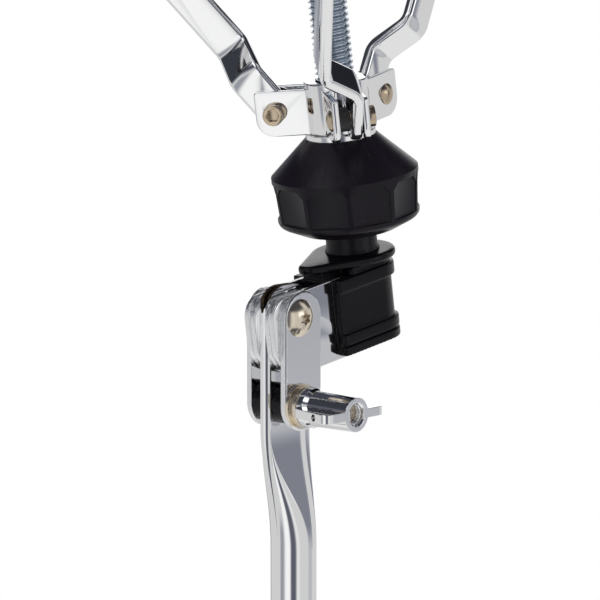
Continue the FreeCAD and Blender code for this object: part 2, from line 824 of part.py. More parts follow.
strap_void = round_nose(strap_inner)
strap_bend = round_nose(strap_outer).cut(strap_void)
strap_side = four(-strap_end, -strap_bottom, rod_offset + strap_outer, strap_top,
                  (strap_end_round_bottom, 0, 0, strap_end_round_top))
pivot_way = sideways(pivot_bolt_radius + pin_play, -reach, reach)
strap = strap_bend.common(plate_across(strap_side, -strap_outer, strap_outer)).cut(pivot_way)
keep("tilt_bracket", on_head(strap))
friction_side = four(-friction_end, -friction_bottom, friction_near, friction_top,
                     (friction_round, 0, 0, strap_end_round_top))
friction = plate_across(friction_side, spacer_low, strap_inner).cut(pivot_way)
keep("friction_plates", on_head(friction), on_head(friction.mirror(origin, along_x)))

# Boot: ribbed cover moulded over the strap, with a teardrop flange
def boot_band(grow, reach_back, low, high):
    """Round-nosed band about the rod that follows the boot's plan."""
    half = boot_half + grow
    near = rod_offset - reach_back
    far = rod_offset + boot_past + half
    plan = four(-half, near, half, far, (boot_corner, boot_corner, half, half))
    return plate_flat(plan, low, high)


def teardrop(big, small, low, high):
    """Flat hull around the rod's circle and a smaller one nearer the mast."""
    turn = math.asin((big - small) / boot_tail)
    tip = rod_offset - boot_tail
    spots = []
    for radius, centre in ((big, rod_offset), (small, tip)):
        spots.append(Vector(radius * math.cos(turn), centre - radius * math.sin(turn), low))
    left = [Vector(-p.x, p.y, p.z) for p in spots]
    far = Vector(0, rod_offset + big, low)
    near = Vector(0, tip - small, low)
    edges = [Part.makeLine(spots[1], spots[0]), Part.Arc(spots[0], far, left[0]).toShape(),
             Part.makeLine(left[0], left[1]), Part.Arc(left[1], near, spots[1]).toShape()]
    return Part.Face(Part.Wire(edges)).extrude(Vector(0, 0, high - low))


boot_tall = boot_top + boot_bottom
boot_bands = [boot_band(0, boot_near, -boot_bottom, strap_top),
              boot_band(0, boot_upper_near, strap_top, boot_top)]
for low, high in zip(boot_rib_low_shares, boot_rib_high_shares):
    boot_bands.append(boot_band(boot_rib, boot_near, boot_tall * low - boot_bottom,
                                boot_tall * high - boot_bottom))
flange = teardrop(boot_flange_radius, boot_tail_radius, boot_top, flange_top)
flange_edges = [edge for edge in flange.Edges if abs(edge.BoundBox.ZLength) < tiny]
flange = flange.makeFillet(boot_flange_edge, flange_edges)
boot = joined(flange, *boot_bands)
fill = plate_flat(four(-strap_inner, boot_fill_near, strap_inner, rod_offset), -boot_fill_low, strap_top)
boot = boot.fuse(fill).cut(strap_void.cut(fill)).cut(strap_bend)
web = plate_flat(four(-strap_inner, boot_web_near, strap_inner, rod_offset), strap_top, boot_top)
boot = joined(boot, web)
rod_low = Vector(0, rod_offset, -strap_bottom)
rod_step = Vector(0, rod_offset, boot_top)
boot = boot.cut(bar(rod_shank_radius, rod_low, rod_step))
boot = boot.cut(bar(rod_radius, rod_step, Vector(0, rod_offset, flange_top)))
keep("tilt_boot", on_head(boot))

# Rod, neck, top collar and cap nut, built about the rod's own axis
rod_top = top_pivot_height + collar_above + cap_nut_height
rod = turned([(0, -strap_bottom), (rod_shank_radius, -strap_bottom), (rod_shank_radius, boot_top),
              (rod_radius, boot_top), (rod_radius, rod_top), (0, rod_top)])
keep("threaded_rod", on_basket(rod))
neck_top = nut_bottom - nut_gap
neck = turned([(rod_radius, flange_top), (neck_foot_radius, flange_top),
               (neck_radius, flange_top + neck_foot), (neck_radius, neck_top), (rod_radius, neck_top)])
keep("neck_sleeve", on_basket(neck))
collar_low = top_pivot_height - collar_below
cap_low = top_pivot_height + collar_above
collar_lug = plate(four(0, top_pivot_height - collar_lug_round, top_pivot_radius + collar_lug_round,
                        top_pivot_height + collar_lug_round, (0, collar_lug_round, collar_lug_round, 0)),
                   -collar_lug_half, collar_lug_half)
collar_hole = crosswise(hub_screw_radius, top_pivot_radius, collar_lug_half, top_pivot_height)
collar = joined(upright(collar_radius, collar_low, cap_low), *basket_round(collar_lug.cut(collar_hole)))
keep("top_collar", on_basket(collar.cut(upright(rod_radius, 0, rod_top))))
cap = joined(polygon_bar(cap_nut_radius, cap_nut_sides, cap_low, cap_low + cap_nut_height),
             dome(cap_nut_radius * math.cos(math.pi / cap_nut_sides), cap_dome_height,
                  Vector(0, 0, cap_low + cap_nut_height), along_z))
keep("cap_nut", on_basket(cap.cut(upright(rod_radius, 0, rod_top))))
arm_pin = cross_pin(hub_screw_radius, arm_half_width + side_play, rivet_head_radius, rivet_head_height,
                    top_pivot_radius, top_pivot_height)
keep("arm_pins", *[on_basket(pin) for pin in basket_round(arm_pin)])

# Adjusting nut with its steel insert
grip_low = nut_bottom + nut_chamfer
grip_high = grip_low + nut_grip
bore_radius = rod_radius + rod_play
knob = turned([(insert_radius, nut_bottom), (nut_foot_radius, nut_bottom), (nut_grip_radius, grip_low),
               (nut_grip_radius, grip_high), (nut_top_radius, nut_top), (insert_radius, nut_top)])
panel_half = nut_panel_width / 2
panel_low = grip_low + nut_panel_margin
panel_high = grip_high - nut_panel_margin
panel_bevel = panel_high - nut_panel_corner
panel = plate_across([(-panel_half, panel_low, 0), (panel_half, panel_low, 0), (panel_half, panel_bevel, 0),
                      (panel_half - nut_panel_corner, panel_high, 0),
                      (nut_panel_corner - panel_half, panel_high, 0), (-panel_half, panel_bevel, 0)],
                     nut_grip_radius - nut_panel_depth, nut_grip_radius)
for i in range(nut_panels):
    knob = knob.cut(turn_copy(panel, nut_panel_turn + full_turn * i / nut_panels))
keep("adjusting_nut", on_basket(knob))
insert_low = Vector(0, 0, nut_bottom + insert_inset)
insert_high = Vector(0, 0, nut_top)
keep("nut_insert", on_basket(tube(insert_radius, bore_radius, insert_low, insert_high)))
keep("thrust_washer", on_basket(tube(thrust_radius, bore_radius, insert_high, Vector(0, 0, hub_bottom))))

# Hub with three forks
ear_high = hub_bottom + hub_ear_height
ear_side = four(0, hub_bottom, hub_ear_reach, ear_high, (0, hub_ear_low_round, hub_ear_high_round, 0))
fork = [plate(ear_side, ear_inner, ear_outer), plate(ear_side, -ear_outer, -ear_inner)]
hub_barrel = upright(hub_radius, hub_bottom, hub_bottom + hub_height)
hub = joined(hub_barrel, *basket_round(fork[0]), *basket_round(fork[1]))
between = plate(four(hub_radius, hub_bottom, hub_ear_reach, ear_high), -ear_inner, ear_inner)
screw_hole = crosswise(hub_screw_radius, hub_pivot_radius, ear_outer, hub_pivot_height)
for way in basket_round(between) + basket_round(screw_hole):
    hub = hub.cut(way)
keep("basket_hub", on_basket(hub.cut(upright(bore_radius, hub_bottom, hub_bottom + hub_height))))

stem_low = Vector(hub_pivot_radius, -ear_outer, hub_pivot_height)
stem_high = Vector(hub_pivot_radius, ear_outer, hub_pivot_height)
socket = aim(polygon_bar(hub_socket, cap_nut_sides, 0, hub_socket_depth),
             stem_high + along_y * (hub_head_height - hub_socket_depth), along_y)
screw = joined(bar(hub_screw_radius, stem_low, stem_high),
               bar(hub_head_radius, stem_high, stem_high + along_y * hub_head_height),
               dome(hub_end_radius, hub_end_height, stem_low, -along_y)).cut(socket)
spacer_start = Vector(hub_pivot_radius, -ear_inner, hub_pivot_height)
spacer_end = Vector(hub_pivot_radius, strut_low - side_play, hub_pivot_height)
spacer = tube(hub_spacer_radius, hub_screw_radius, spacer_start, spacer_end)
keep("hub_screws", *[on_basket(copy) for copy in basket_round(screw)])
keep("hub_spacers", *[on_basket(copy) for copy in basket_round(spacer)])


# Struts: flat bars with a sideways crank, built upright and then leaned
def strut_line(offset, first_round, last_round):
    """Crank corners (thickness side, distance, round) of one face of the bar."""
    crank = math.atan2(strut_shift, strut_bend_end - strut_bend_start)
    shift = offset * math.tan(crank / 2)
    near = (strut_high + strut_low) / 2 + offset
    far = near - strut_shift
    return [(near, -strut_width, 0), (near, strut_bend_start + shift, first_round),
            (far, strut_bend_end + shift, last_round), (far, strut_length + strut_width, 0)]


half_strut = strut_width / 2
outer_round = strut_bend_round + strut_sheet
high_line = strut_line(strut_sheet / 2, outer_round, strut_bend_round)
low_line = strut_line(-strut_sheet / 2, strut_bend_round, outer_round)
strut = plate_across(high_line + low_line[::-1], -half_strut, half_strut)
stadium = four(-half_strut, -half_strut - strut_tail, half_strut, strut_length + half_strut,
               (half_strut,) * 4)
strut = strut.common(plate(stadium, strut_upper_low - strut_sheet, strut_high + strut_sheet))
strut = strut.cut(bar(hub_screw_radius + pin_play, Vector(0, strut_low, 0), Vector(0, strut_high, 0)))
strut = strut.cut(bar(knee_radius + knee_play, Vector(0, strut_upper_low, strut_length),
                      Vector(0, strut_upper_high, strut_length)))
strut.rotate(origin, along_y, strut_angle)
strut.translate(Vector(hub_pivot_radius, 0, hub_pivot_height))


# Arms: channels open below, hinged on the top collar
def arm_point(along, out):
    """Point in the arm's plane, measured along and above its centre line."""
    return (top_pivot_radius + along * arm_cos - out * arm_sin,
            top_pivot_height + along * arm_sin + out * arm_cos)


web_low = arm_high - arm_sheet
channel_side = [(-arm_lug_round, -arm_lug_round, arm_lug_round), (arm_lug_round, -arm_low, arm_lug_round),
                (arm_span, -arm_low, arm_lug_round), (arm_length, -arm_tip_low, 0),
                (arm_length, arm_high, 0), (arm_web_start, arm_high, arm_sheet),
                (arm_web_start - arm_sheet, arm_lug_round, 0),
                (-arm_lug_round, arm_lug_round, arm_lug_round)]
arm = plate(channel_side, -arm_half_width, arm_half_width)
void_half = arm_half_width - arm_sheet
arm = arm.cut(plate(four(-arm_lug_round, -arm_length, arm_length, web_low), -void_half, void_half))
arm = arm.cut(plate(four(-arm_lug_round, web_low, arm_web_start, arm_length), -void_half, void_half))
half_slot = arm_slot_width / 2
arm_slot = four(arm_slot_start, -half_slot, arm_slot_start + arm_slot_length, half_slot, (half_slot,) * 4)
arm = arm.cut(plate_flat(arm_slot, 0, arm_length))
arm = arm.cut(crosswise(hub_screw_radius + pin_play, 0, arm_half_width, 0))
arm = arm.cut(bar(knee_radius, Vector(arm_span, -arm_half_width, 0), Vector(arm_span, -void_half, 0)))

knee_low = strut_upper_low - side_play
arm_rivet = joined(bar(knee_radius, Vector(arm_span, knee_low, 0), Vector(arm_span, -void_half, 0)),
                   dome(knee_head_radius, knee_head_height, Vector(arm_span, knee_low, 0), -along_y),
                   dome(rivet_head_radius, knee_head_height, Vector(arm_span, -void_half, 0), along_y))


def as_arm(shape):
    """Turn a shape from the arm's own line to its open place."""
    copy = shape.copy()
    copy.rotate(origin, along_y, -arm_slope)
    copy.translate(Vector(top_pivot_radius, 0, top_pivot_height))
    return copy


tip = arm_point(arm_length, arm_high)
seat_height = tip[1] + grip_lift
back_inner = hoop_radius + arm_past_hoop / 2
back_outer = back_inner + grip_back
low_in = arm_point(arm_length - grip_cover, -arm_low - grip_wall)
low_out = arm_point(arm_length + grip_nose, -arm_tip_low - grip_wall)
high_in = arm_point(arm_length - grip_cover, arm_high + grip_wall)
back_top = seat_height + grip_height
grip = plate([(low_in[0], low_in[1], grip_round), (low_out[0], low_out[1], grip_round),
              (back_outer, seat_height - grip_lift, grip_round), (back_outer, back_top, grip_round),
              (back_outer - grip_back / 2, back_top, grip_round), (back_inner, back_top - 2 * grip_lean, 0),
              (back_inner, seat_height, 0), (back_inner - grip_seat_depth, seat_height, 0),
              (high_in[0], high_in[1], grip_round)], -grip_half_width, grip_half_width)
grip = grip.cut(as_arm(arm))

for i, azimuth in enumerate(basket_azimuths):
    number = str(i + 1)
    keep("strut_" + number, on_basket(strut, azimuth))
    keep("arm_" + number, on_basket(as_arm(arm), azimuth))
    keep("arm_rivet_" + number, on_basket(as_arm(arm_rivet), azimuth))
    keep("grip_" + number, on_basket(grip, azimuth))

os.makedirs("parts", exist_ok=True)
for name, shape in nodes.items():
    shape.exportStep(os.path.join("parts", name + ".step"))
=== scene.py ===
import bpy
import json
import math
from mathutils import Matrix, Vector

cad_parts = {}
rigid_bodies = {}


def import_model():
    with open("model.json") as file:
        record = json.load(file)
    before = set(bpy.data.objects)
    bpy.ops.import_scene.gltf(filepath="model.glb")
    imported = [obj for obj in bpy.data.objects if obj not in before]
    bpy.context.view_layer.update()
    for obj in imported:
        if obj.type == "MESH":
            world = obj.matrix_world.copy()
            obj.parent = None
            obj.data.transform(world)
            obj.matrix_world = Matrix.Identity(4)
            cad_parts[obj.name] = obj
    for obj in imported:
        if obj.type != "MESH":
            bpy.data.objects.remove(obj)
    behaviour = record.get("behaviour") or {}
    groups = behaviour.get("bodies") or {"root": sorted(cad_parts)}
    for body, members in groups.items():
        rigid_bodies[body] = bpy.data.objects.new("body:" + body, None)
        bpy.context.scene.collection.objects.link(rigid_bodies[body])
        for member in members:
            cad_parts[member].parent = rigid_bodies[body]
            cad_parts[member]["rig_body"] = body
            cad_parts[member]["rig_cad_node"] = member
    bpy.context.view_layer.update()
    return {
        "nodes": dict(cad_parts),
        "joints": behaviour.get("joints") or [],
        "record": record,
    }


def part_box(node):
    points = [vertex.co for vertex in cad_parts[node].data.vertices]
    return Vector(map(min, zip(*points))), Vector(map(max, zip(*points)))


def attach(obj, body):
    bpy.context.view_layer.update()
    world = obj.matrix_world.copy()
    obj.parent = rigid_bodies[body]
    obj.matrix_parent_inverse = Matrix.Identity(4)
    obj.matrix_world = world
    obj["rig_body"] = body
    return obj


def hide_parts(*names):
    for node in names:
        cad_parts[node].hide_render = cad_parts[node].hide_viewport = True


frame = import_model()
nodes = frame["nodes"]
joints = {j["name"]: j for j in frame["joints"]}
record = frame["record"]
bodyOf = {n: b for b, members in record["behaviour"]["bodies"].items() for n in members}
slotOf = {s["node"]: s["material_slot"] for s in record["subparts"]}
print("frame loaded:", len(nodes), "nodes")

threefold = ("1", "2", "3")
bothSides = (1, -1)
upward = Vector((0, 0, 1))
forward = Vector((1, 0, 0))
quarterTurn = math.pi / 2
wholeTurn = 2 * math.pi


# small helpers for working as in the viewport

def deselectAll():
    for o in bpy.context.selected_objects:
        o.select_set(False)


def makeActive(obj):
    deselectAll()
    obj.select_set(True)
    bpy.context.view_layer.objects.active = obj


def editMode(obj, selectMode="VERT"):
    makeActive(obj)
    bpy.ops.object.mode_set(mode="EDIT")
    bpy.ops.mesh.select_mode(type=selectMode)


def editAll(obj, selectMode="VERT"):
    editMode(obj, selectMode)
    bpy.ops.mesh.select_all(action="SELECT")


def objectMode():
    bpy.ops.object.mode_set(mode="OBJECT")


def applyModifiers(obj):
    makeActive(obj)
    for m in list(obj.modifiers):
        bpy.ops.object.modifier_apply(modifier=m.name)


def smoothShade(obj, angle):
    makeActive(obj)
    bpy.ops.object.shade_smooth_by_angle(angle=math.radians(angle))


def selectNone(obj):
    for part in (obj.data.vertices, obj.data.edges, obj.data.polygons):
        part.foreach_set("select", [False] * len(part))


def selectVertices(obj, test):
    selectNone(obj)
    for v in obj.data.vertices:
        v.select = test(v.co)


def applyPlace():
    bpy.ops.object.transform_apply(location=True, rotation=True, scale=True)


def newPiece():
    # the form just added, its place taken into the mesh
    obj = bpy.context.active_object
    applyPlace()
    return obj


def bakePlace(obj, matrix):
    obj.matrix_world = matrix
    makeActive(obj)
    applyPlace()


def cutAway(obj, tool):
    cut = obj.modifiers.new("cut", "BOOLEAN")
    cut.object = tool
    cut.operation = "DIFFERENCE"
    cut.solver = "EXACT"
    applyModifiers(obj)
    bpy.data.objects.remove(tool)


def joinInto(obj, other):
    makeActive(obj)
    other.select_set(True)
    bpy.ops.object.join()


def jointLine(name):
    return Vector(joints[name]["pos_m"]), Vector(joints[name]["axis"])


def alongAxis(origin, axis):
    # stands a piece that was modelled on Z upon an axis of the frame
    turn = upward.rotation_difference(axis).to_matrix().to_4x4()
    return Matrix.Translation(origin) @ turn


def spanOf(node, origin, axis):
    heights = [(v.co - origin).dot(axis) for v in nodes[node].data.vertices]
    return min(heights), max(heights)


def settle(obj, name, body, material, replaced=()):
    obj.name = name
    obj.data.name = name
    # a mesh that has the material among others keeps its own list
    if material.name not in obj.data.materials:
        obj.data.materials.clear()
        obj.data.materials.append(material)
    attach(obj, body)
    if replaced:
        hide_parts(*replaced)
    return obj


# shader node helpers

# where a mix node has its two values and its result
mixPlaces = {"FLOAT": (2, 3, 0), "RGBA": (6, 7, 2)}


def freshTree(name):
    mat = bpy.data.materials.new(name)
    mat.use_nodes = True
    tree = mat.node_tree
    tree.nodes.clear()
    return mat, tree, tree.nodes.new("ShaderNodeOutputMaterial")


def freshMaterial(name):
    mat, tree, out = freshTree(name)
    shader = tree.nodes.new("ShaderNodeBsdfPrincipled")
    tree.links.new(shader.outputs["BSDF"], out.inputs["Surface"])
    return mat, tree, shader


def addNode(tree, kind, **values):
    node = tree.nodes.new(kind)
    for key, value in values.items():
        if key in node.inputs:
            node.inputs[key].default_value = value
        else:
            setattr(node, key, value)
    return node


def feed(tree, value, socket):
    # links another node's socket, or sets a plain value
    if isinstance(value, bpy.types.NodeSocket):
        tree.links.new(value, socket)
    else:
        socket.default_value = value


def mathNode(tree, operation, *values):
    node = addNode(tree, "ShaderNodeMath", operation=operation)
    for value, socket in zip(values, node.inputs):
        feed(tree, value, socket)
    return node.outputs["Value"]


def vectorNode(tree, operation, *values, result="Vector"):
    node = addNode(tree, "ShaderNodeVectorMath", operation=operation)
    for value, socket in zip(values, node.inputs):
        feed(tree, value, socket)
    return node.outputs[result]


def mixNode(tree, kind, factor, first, second, blend="MIX"):
    node = addNode(tree, "ShaderNodeMix", data_type=kind, blend_type=blend)
    firstPlace, secondPlace, resultPlace = mixPlaces[kind]
    for value, place in ((factor, 0), (first, firstPlace), (second, secondPlace)):
        feed(tree, value, node.inputs[place])
    return node.outputs[resultPlace]


def mixShaders(tree, factor, first, second):
    node = tree.nodes.new("ShaderNodeMixShader")
    for value, socket in zip((factor, first, second), node.inputs):
        tree.links.new(value, socket)
    return node.outputs["Shader"]


def rangeNode(tree, value, ends, kind="LINEAR"):
    node = addNode(tree, "ShaderNodeMapRange", interpolation_type=kind)
    feed(tree, value, node.inputs["Value"])
    for label, end in ends.items():
        feed(tree, end, node.inputs[label])
    return node.outputs["Result"]


def noiseSet(tree, settings):
    # noise textures over the piece's own coordinates
    coords = tree.nodes.new("ShaderNodeTexCoord")
    textures = [addNode(tree, "ShaderNodeTexNoise", **values) for values in settings.values()]
    for texture in textures:
        tree.links.new(coords.outputs["Object"], texture.inputs["Vector"])
    return textures


def bumpNode(tree, height, strength, distance, under=None):
    bump = addNode(tree, "ShaderNodeBump", Strength=strength, Distance=distance)
    tree.links.new(height, bump.inputs["Height"])
    if under:
        tree.links.new(under, bump.inputs["Normal"])
    return bump.outputs["Normal"]


def newGroup(name, inputs, outputs):
    group = bpy.data.node_groups.new(name, "ShaderNodeTree")
    for label, value in inputs.items():
        socket = group.interface.new_socket(name=label, in_out="INPUT",
                                            socket_type="NodeSocketFloat")
        socket.default_value = value
    for label in outputs:
        group.interface.new_socket(name=label, in_out="OUTPUT", socket_type="NodeSocketFloat")
    return group, group.nodes.new("NodeGroupInput"), group.nodes.new("NodeGroupOutput")


def useGroup(tree, group, **values):
    node = tree.nodes.new("ShaderNodeGroup")
    node.node_tree = group
    for key, value in values.items():
        node.inputs[key].default_value = value
    return node


# plating: faint haze, wipe marks and slow waviness of stamped and polished metal
platingNoise = {"cloud": {"Detail": 4.0, "Roughness": 0.6},
                "speck": {"Scale": 1400.0, "Detail": 2.0},
                "wave": {"Scale": 34.0, "Detail": 1.0}}
platingShade = {"To Min": 0.94, "To Max": 1.0}


def buildPlating():
    group, gin, gout = newGroup(
        "plating", {"Haze": 0.06, "Spread": 0.05, "Scale": 90.0, "Waviness": 0.3},
        ("Roughness", "Shade", "Height"))
    cloud, speck, wave = noiseSet(group, platingNoise)
    group.links.new(gin.outputs["Scale"], cloud.inputs["Scale"])
    haze = mathNode(group, "MULTIPLY", cloud.outputs["Fac"], gin.outputs["Spread"])
    haze = mathNode(group, "ADD", haze, gin.outputs["Haze"])
    shade = rangeNode(group, speck.outputs["Fac"], platingShade)
    height = mathNode(group, "MULTIPLY", wave.outputs["Fac"], gin.outputs["Waviness"])
    group.links.new(haze, gout.inputs["Roughness"])
    group.links.new(shade, gout.inputs["Shade"])
    group.links.new(height, gout.inputs["Height"])
    return group


# moulding: fine grain, a little dust and uneven sheen of moulded plastic and rubber
mouldingNoise = {"grain": {"Detail": 3.0, "Roughness": 0.55},
                 "cloud": {"Scale": 60.0, "Detail": 5.0, "Roughness": 0.65},
                 "fleck": {"Scale": 520.0, "Detail": 2.0}}
dustRange = {"From Min": 0.66, "From Max": 0.76}


def buildMoulding():
    group, gin, gout = newGroup(
        "moulding", {"Sheen": 0.4, "Spread": 0.12, "Grain": 900.0, "Dust": 0.15},
        ("Roughness", "Dust", "Height"))
    grain, cloud, fleck = noiseSet(group, mouldingNoise)
    group.links.new(gin.outputs["Grain"], grain.inputs["Scale"])
    rough = mathNode(group, "MULTIPLY", cloud.outputs["Fac"], gin.outputs["Spread"])
    rough = mathNode(group, "ADD", rough, gin.outputs["Sheen"])
    spots = rangeNode(group, fleck.outputs["Fac"], dustRange)
    dust = mathNode(group, "MULTIPLY", spots, gin.outputs["Dust"])
    group.links.new(rough, gout.inputs["Roughness"])
    group.links.new(dust, gout.inputs["Dust"])
    group.links.new(grain.outputs["Fac"], gout.inputs["Height"])
    return group


plating = buildPlating()
moulding = buildMoulding()

chromeFinish = {"tint": (0.94, 0.942, 0.95), "haze": 0.02, "spread": 0.05, "cloud": 70.0,
                "waviness": 0.25, "edgeRound": 0.0006}
nickelFinish = {"tint": (0.86, 0.76, 0.62), "haze": 0.12, "spread": 0.14, "cloud": 240.0,
                "waviness": 0.1, "edgeRound": 0.0003}
washerFinish = {"tint": (0.88, 0.79, 0.65), "haze": 0.16, "spread": 0.16, "cloud": 300.0,
                "waviness": 0.1, "edgeRound": 0.0002}
zincFinish = {"tint": (0.43, 0.49, 0.57), "haze": 0.2, "spread": 0.1, "cloud": 160.0,
              "waviness": 0.05, "edgeRound": 0.0}
brownFinish = {"tint": (0.56, 0.46, 0.34), "haze": 0.14, "spread": 0.16, "cloud": 300.0,
               "waviness": 0.1, "edgeRound": 0.0003}
# painted shade: a dark brown metal for the mast tube's bore, also laid on its cut end
boreShadeFinish = {"tint": (0.10, 0.075, 0.05), "haze": 0.5, "spread": 0.2, "cloud": 300.0,
              "waviness": 0.2, "edgeRound": 0.0}
shearFinish = {"noise": {"grit": {"Scale": 950.0, "Detail": 3.0, "Roughness": 0.7}},
               "grainStrength": 1.0, "grainDepth": 0.0003, "edgeAxis": (1, 0, 0),
               "edgeLimit": 0.5, "roughness": 0.1}
metalBump = {"strength": 0.12, "distance": 0.0004}
edgeSamples = 6


def edgeNormal(tree, radius):
    # lets the light catch an edge as if it were rounded
    if not radius:
        return None
    return addNode(tree, "ShaderNodeBevel", samples=edgeSamples, Radius=radius).outputs["Normal"]


def tornEdges(tree, rough, normal):
    # the cut edges of the thick plates are half torn and granular under the plating
    geometry = tree.nodes.new("ShaderNodeNewGeometry")
    facing = vectorNode(tree, "DOT_PRODUCT", geometry.outputs["Normal"], shearFinish["edgeAxis"],
                        result="Value")
    edge = mathNode(tree, "LESS_THAN", mathNode(tree, "ABSOLUTE", facing),
                    shearFinish["edgeLimit"])
    [grit] = noiseSet(tree, shearFinish["noise"])
    torn = bumpNode(tree, mathNode(tree, "MULTIPLY", grit.outputs["Fac"], edge),
                    shearFinish["grainStrength"], shearFinish["grainDepth"], normal)
    added = mathNode(tree, "MULTIPLY", edge, shearFinish["roughness"])
    return mathNode(tree, "ADD", rough, added), torn


def metalMaterial(name, finish, sheared=False):
    mat, tree, shader = freshMaterial(name)
    group = useGroup(tree, plating, Haze=finish["haze"], Spread=finish["spread"],
                     Scale=finish["cloud"], Waviness=finish["waviness"])
    tone = mixNode(tree, "RGBA", 1.0, (*finish["tint"], 1.0), group.outputs["Shade"], "MULTIPLY")
    tree.links.new(tone, shader.inputs["Base Color"])
    shader.inputs["Metallic"].default_value = 1.0
    rough = group.outputs["Roughness"]
    normal = bumpNode(tree, group.outputs["Height"], metalBump["strength"],
                      metalBump["distance"], edgeNormal(tree, finish["edgeRound"]))
    if sheared:
        rough, normal = tornEdges(tree, rough, normal)
    tree.links.new(rough, shader.inputs["Roughness"])
    tree.links.new(normal, shader.inputs["Normal"])
    return mat


nutFinish = {"tint": (0.006, 0.0045, 0.008), "dustTint": (0.10, 0.10, 0.11), "sheen": 0.26,
             "spread": 0.10, "grain": 1500.0, "grainDepth": 0.00006, "dust": 0.1,
             "specular": 0.2, "edgeRound": 0.0}
bootFinish = {"tint": (0.0035, 0.003, 0.0045), "dustTint": (0.09, 0.085, 0.10), "sheen": 0.17,
              "spread": 0.10, "grain": 1100.0, "grainDepth": 0.00003, "dust": 0.05,
              "specular": 0.18, "edgeRound": 0.0}
rubberFinish = {"tint": (0.016, 0.016, 0.017), "dustTint": (0.12, 0.118, 0.115), "sheen": 0.58,
                "spread": 0.16, "grain": 1300.0, "grainDepth": 0.00012, "dust": 0.3,
                "specular": 0.4, "edgeRound": 0.0}
nylonFinish = {"tint": (0.022, 0.022, 0.024), "dustTint": (0.11, 0.11, 0.115), "sheen": 0.44,
               "spread": 0.14, "grain": 1600.0, "grainDepth": 0.00005, "dust": 0.1,
               "specular": 0.45, "edgeRound": 0.0005}
grainStrength = 0.6


def mouldedMaterial(name, finish):
    mat, tree, shader = freshMaterial(name)
    group = useGroup(tree, moulding, Sheen=finish["sheen"], Spread=finish["spread"],
                     Grain=finish["grain"], Dust=finish["dust"])
    tone = mixNode(tree, "RGBA", group.outputs["Dust"], (*finish["tint"], 1.0),
                   (*finish["dustTint"], 1.0))
    tree.links.new(tone, shader.inputs["Base Color"])
    tree.links.new(group.outputs["Roughness"], shader.inputs["Roughness"])
    shader.inputs["Specular IOR Level"].default_value = finish["specular"]
    normal = bumpNode(tree, group.outputs["Height"], grainStrength, finish["grainDepth"],
                      edgeNormal(tree, finish["edgeRound"]))
    tree.links.new(normal, shader.inputs["Normal"])
    return mat


chrome = metalMaterial("brightChrome", chromeFinish)
polishedChrome = metalMaterial("polishedChrome", {**chromeFinish, "edgeRound": 0.0})
shearedChrome = metalMaterial("shearedChrome", chromeFinish, sheared=True)
nickel = metalMaterial("warmNickel", nickelFinish)
washerGold = metalMaterial("yellowedWasher", washerFinish)
brownScrew = metalMaterial("brownedScrew", brownFinish)
blueZinc = metalMaterial("blueZinc", zincFinish)
# painted shade for the mast tube's bore and cut end
boreShade = metalMaterial("boreShade", boreShadeFinish)
satinBlack = mouldedMaterial("satinBlackNut", nutFinish)
bootBlack = mouldedMaterial("semiGlossBoot", bootFinish)
rubberBlack = mouldedMaterial("rubberBlack", rubberFinish)
nylonBlack = mouldedMaterial("nylonBlack", nylonFinish)
print("materials ready")

slotFinish = {"chrome_plate": chrome, "nickel_fasteners": nickel, "black_rubber": rubberBlack,
              "zinc_rod": blueZinc, "black_plastic": satinBlack, "boot_plastic": bootBlack,
              "nylon": nylonBlack}
ownFinish = {"tilt_bracket": shearedChrome, "friction_plates": shearedChrome,
             "front_side_plate": shearedChrome, "rear_side_plate": shearedChrome,
             "tilt_washers": washerGold, "thrust_washer": chrome, "hub_screws": brownScrew,
             "neck_sleeve": satinBlack, "basket_hub": polishedChrome,
             **{"strut_" + number: polishedChrome for number in threefold}}
nodeAngle = 28.0


def finishOf(node):
    return ownFinish.get(node, slotFinish[slotOf[node]])


for name, obj in nodes.items():
    obj.data.materials.clear()
    obj.data.materials.append(finishOf(name))
    smoothShade(obj, nodeAngle)
deselectAll()
print("nodes dressed")


# pieces with rounded edges: a copy of the solid, its edges rounded as the mould or the
# tumbling leaves them. Each has its radius and whether the rounding stops at its neighbours
rounded = {"base_end_cap": (0.0008, True), "neck_sleeve": (0.0005, False),
           **{"strut_" + number: (0.0014, False) for number in threefold},
           "basket_hub": (0.0006, False), "tilt_bracket": (0.0006, False),
           "friction_plates": (0.0006, False),
           **{"brace_" + number: (0.0005, False) for number in threefold},
           "hub_screws": (0.0003, False)}
rounding = {"segments": 3, "edgeAngle": 32.0, "smoothAngle": 35.0}
merging = {"distance": 0.00001, "flatAngle": 1.0}


def mergedCopy(node):
    makeActive(nodes[node])
    bpy.ops.object.duplicate()
    piece = bpy.context.active_object
    piece.parent = None
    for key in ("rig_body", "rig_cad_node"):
        if key in piece:
            del piece[key]
    editAll(piece)
    bpy.ops.mesh.remove_doubles(threshold=merging["distance"])
    bpy.ops.mesh.dissolve_limited(angle_limit=math.radians(merging["flatAngle"]))
    bpy.ops.mesh.select_all(action="DESELECT")
    objectMode()
    return piece


def roundEvery(piece, radius, clamped):
    bevel = piece.modifiers.new("edgeRound", "BEVEL")
    bevel.width = radius
    bevel.segments = rounding["segments"]
    bevel.limit_method = "ANGLE"
    bevel.angle_limit = math.radians(rounding["edgeAngle"])
    bevel.use_clamp_overlap = clamped
    applyModifiers(piece)
    smoothShade(piece, rounding["smoothAngle"])


def settleCopy(piece, node, ending):
    return settle(piece, node + ending, bodyOf[node], finishOf(node), (node,))


def roundedCopy(node, radius, clamped):
    piece = mergedCopy(node)
    roundEvery(piece, radius, clamped)
    return settleCopy(piece, node, ".rounded")


for node, (radius, clamped) in rounded.items():
    roundedCopy(node, radius, clamped)
print("edges rounded")


# adjusting nut: its lower rim turns under in a wide round
nutShape = {"rimReach": 0.0296, "rimHeight": 0.0035, "rimSlack": 0.001, "rimScale": 0.967,
            "rimRound": 0.0016, "rimSteps": 4, "endBand": 0.0002, "edge": 0.0006}


